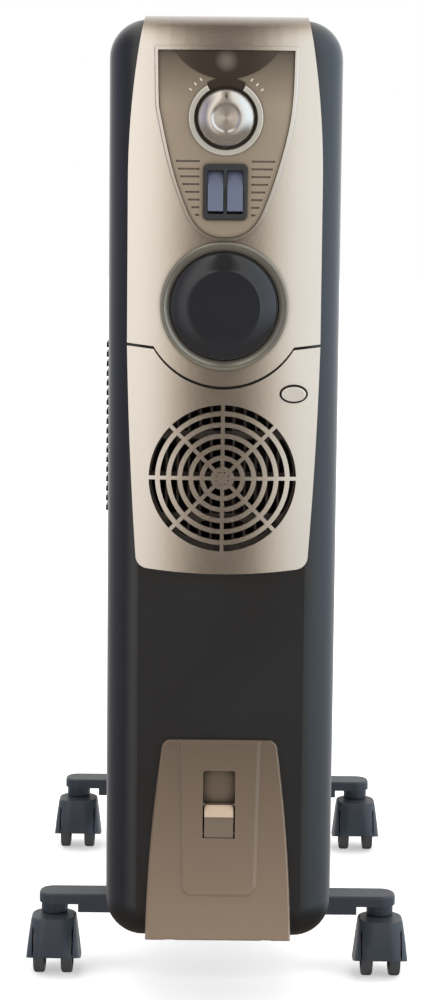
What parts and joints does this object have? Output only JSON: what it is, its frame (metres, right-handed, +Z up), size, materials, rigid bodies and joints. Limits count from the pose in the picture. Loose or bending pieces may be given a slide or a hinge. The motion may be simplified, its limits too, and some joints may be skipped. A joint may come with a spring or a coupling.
{
  "type": "oil filled radiator heater",
  "caption": "Upright oil filled radiator on swivel casters, with a control box that holds a thermostat, rocker switches, a timer dial, a fan grille and a cord compartment.",
  "frame": {"origin": "on the floor, at the middle of the heater's width and of its overall length", "axes": "+Z up, -Y out of the face of the control box, +X to the right of someone who faces it"},
  "size_m": [0.26, 0.5, 0.64],
  "materials": {
    "housing_plastic": "charcoal moulded plastic with a soft gloss",
    "champagne_plastic": "pearl champagne painted plastic",
    "bronze_plastic": "bronze painted plastic",
    "smoked_lens": "smoked clear plastic",
    "lamp_glass": "clear glass over an amber lamp",
    "satin_silver": "satin metallised plastic",
    "ring_bronze": "metallised bronze plastic",
    "dial_black": "polished black plastic",
    "switch_black": "fine grained black plastic",
    "rocker_grey": "blue grey plastic",
    "electrical_plastic": "heat resistant moulding",
    "enamelled_steel": "baked enamel on pressed sheet",
    "bar_plastic": "blue charcoal moulded nylon",
    "wheel_plastic": "hard nylon",
    "zinc_steel": "zinc plated",
    "ceramic_heater": "finned aluminium on ceramic stones"
  },
  "bodies": {
    "frame": {"caster_stems": "zinc_steel", "control_inset": "bronze_plastic", "cord_gland": "switch_black", "cord_tray": "switch_black", "cover_screws": "zinc_steel", "fan_motor": "zinc_steel", "fan_shroud": "switch_black", "fan_switch": "electrical_plastic", "front_caster_bar": "bar_plastic", "front_cover": "housing_plastic", "heating_element": "zinc_steel", "hinge_pins": "zinc_steel", "indicator_lamp": "lamp_glass", "indicator_lens": "smoked_lens", "knob_ring": "satin_silver", "lower_panel": "champagne_plastic", "mount_nut": "zinc_steel", "ptc_element": "ceramic_heater", "radiator_fins": "enamelled_steel", "rear_caster_bar": "bar_plastic", "rear_cover": "housing_plastic", "switch_body": "electrical_plastic", "switch_frame": "switch_black", "terminal_block": "electrical_plastic", "thermal_cutout": "electrical_plastic", "thermostat": "electrical_plastic", "timer_movement": "electrical_plastic", "timer_ring": "ring_bronze", "tip_switch": "electrical_plastic", "u_bolts": "zinc_steel", "upper_panel": "champagne_plastic", "vessel_end_caps": "enamelled_steel", "wing_nuts": "zinc_steel"},
    "thermostat_knob_body": {"thermostat_knob": "satin_silver", "thermostat_spindle": "zinc_steel"},
    "rocker_left_body": {"rocker_left": "rocker_grey"},
    "rocker_right_body": {"rocker_right": "rocker_grey"},
    "timer_dial_body": {"timer_dial": "dial_black"},
    "fan_button_body": {"fan_button": "champagne_plastic"},
    "fan_impeller_body": {"fan_impeller": "switch_black"},
    "cord_door_body": {"cord_door": "bronze_plastic"},
    "door_latch_body": {"door_latch": "bronze_plastic"},
    "tip_pendulum_body": {"tip_pendulum": "zinc_steel"},
    "caster_front_left": {"caster_hood_front_left": "bar_plastic", "caster_axle_front_left": "zinc_steel"},
    "wheel_front_left_left_body": {"wheel_front_left_left": "wheel_plastic"},
    "wheel_front_left_right_body": {"wheel_front_left_right": "wheel_plastic"},
    "caster_front_right": {"caster_hood_front_right": "bar_plastic", "caster_axle_front_right": "zinc_steel"},
    "wheel_front_right_left_body": {"wheel_front_right_left": "wheel_plastic"},
    "wheel_front_right_right_body": {"wheel_front_right_right": "wheel_plastic"},
    "caster_rear_left": {"caster_hood_rear_left": "bar_plastic", "caster_axle_rear_left": "zinc_steel"},
    "wheel_rear_left_left_body": {"wheel_rear_left_left": "wheel_plastic"},
    "wheel_rear_left_right_body": {"wheel_rear_left_right": "wheel_plastic"},
    "caster_rear_right": {"caster_hood_rear_right": "bar_plastic", "caster_axle_rear_right": "zinc_steel"},
    "wheel_rear_right_left_body": {"wheel_rear_right_left": "wheel_plastic"},
    "wheel_rear_right_right_body": {"wheel_rear_right_right": "wheel_plastic"}
  },
  "joints": [
    {"name": "thermostat_turn", "type": "hinge", "parent": "frame", "child": "thermostat_knob_body", "pos_m": [0, -0.24, 0.578], "axis": [0, 1, 0], "range_deg": [-135, 135]},
    {"name": "rocker_left_tilt", "type": "hinge", "parent": "frame", "child": "rocker_left_body", "pos_m": [-0.006, -0.2326, 0.5328], "axis": [1, 0, 0], "range_deg": [0, 22]},
    {"name": "rocker_right_tilt", "type": "hinge", "parent": "frame", "child": "rocker_right_body", "pos_m": [0.006, -0.2326, 0.5328], "axis": [1, 0, 0], "range_deg": [0, 22]},
    {"name": "timer_turn", "type": "hinge", "parent": "frame", "child": "timer_dial_body", "pos_m": [0, -0.238, 0.4627], "axis": [0, 1, 0], "continuous": true},
    {"name": "fan_button_press", "type": "slide", "parent": "frame", "child": "fan_button_body", "axis": [0, 1, 0], "range_m": [0, 0.0025], "stiffness_N_per_m": 400},
    {"name": "fan_spin", "type": "hinge", "parent": "frame", "child": "fan_impeller_body", "pos_m": [0, -0.204, 0.3555], "axis": [0, 1, 0], "continuous": true},
    {"name": "cord_door_hinge", "type": "hinge", "parent": "frame", "child": "cord_door_body", "pos_m": [0, -0.225, 0.06], "axis": [1, 0, 0], "range_deg": [0, 90]},
    {"name": "door_latch_flex", "type": "hinge", "parent": "cord_door_body", "child": "door_latch_body", "pos_m": [0, -0.23215, 0.1275], "axis": [1, 0, 0], "range_deg": [0, 8], "stiffness_Nm_per_rad": 0.3},
    {"name": "tip_pendulum_swing", "type": "hinge", "parent": "frame", "child": "tip_pendulum_body", "pos_m": [0.05, -0.174, 0.238], "axis": [0, 1, 0], "range_deg": [-35, 35]},
    {"name": "swivel_front_left", "type": "hinge", "parent": "frame", "child": "caster_front_left", "pos_m": [-0.1115, -0.11, 0.038], "axis": [0, 0, 1], "continuous": true},
    {"name": "roll_front_left_left", "type": "hinge", "parent": "caster_front_left", "child": "wheel_front_left_left_body", "pos_m": [-0.1209, -0.122, 0.018], "axis": [1, 0, 0], "continuous": true},
    {"name": "roll_front_left_right", "type": "hinge", "parent": "caster_front_left", "child": "wheel_front_left_right_body", "pos_m": [-0.1021, -0.122, 0.018], "axis": [1, 0, 0], "continuous": true},
    {"name": "swivel_front_right", "type": "hinge", "parent": "frame", "child": "caster_front_right", "pos_m": [0.1115, -0.11, 0.038], "axis": [0, 0, 1], "continuous": true},
    {"name": "roll_front_right_left", "type": "hinge", "parent": "caster_front_right", "child": "wheel_front_right_left_body", "pos_m": [0.1021, -0.122, 0.018], "axis": [1, 0, 0], "continuous": true},
    {"name": "roll_front_right_right", "type": "hinge", "parent": "caster_front_right", "child": "wheel_front_right_right_body", "pos_m": [0.1209, -0.122, 0.018], "axis": [1, 0, 0], "continuous": true},
    {"name": "swivel_rear_left", "type": "hinge", "parent": "frame", "child": "caster_rear_left", "pos_m": [-0.1115, 0.214, 0.038], "axis": [0, 0, 1], "continuous": true},
    {"name": "roll_rear_left_left", "type": "hinge", "parent": "caster_rear_left", "child": "wheel_rear_left_left_body", "pos_m": [-0.1209, 0.202, 0.018], "axis": [1, 0, 0], "continuous": true},
    {"name": "roll_rear_left_right", "type": "hinge", "parent": "caster_rear_left", "child": "wheel_rear_left_right_body", "pos_m": [-0.1021, 0.202, 0.018], "axis": [1, 0, 0], "continuous": true},
    {"name": "swivel_rear_right", "type": "hinge", "parent": "frame", "child": "caster_rear_right", "pos_m": [0.1115, 0.214, 0.038], "axis": [0, 0, 1], "continuous": true},
    {"name": "roll_rear_right_left", "type": "hinge", "parent": "caster_rear_right", "child": "wheel_rear_right_left_body", "pos_m": [0.1021, 0.202, 0.018], "axis": [1, 0, 0], "continuous": true},
    {"name": "roll_rear_right_right", "type": "hinge", "parent": "caster_rear_right", "child": "wheel_rear_right_right_body", "pos_m": [0.1209, 0.202, 0.018], "axis": [1, 0, 0], "continuous": true}
  ]
}
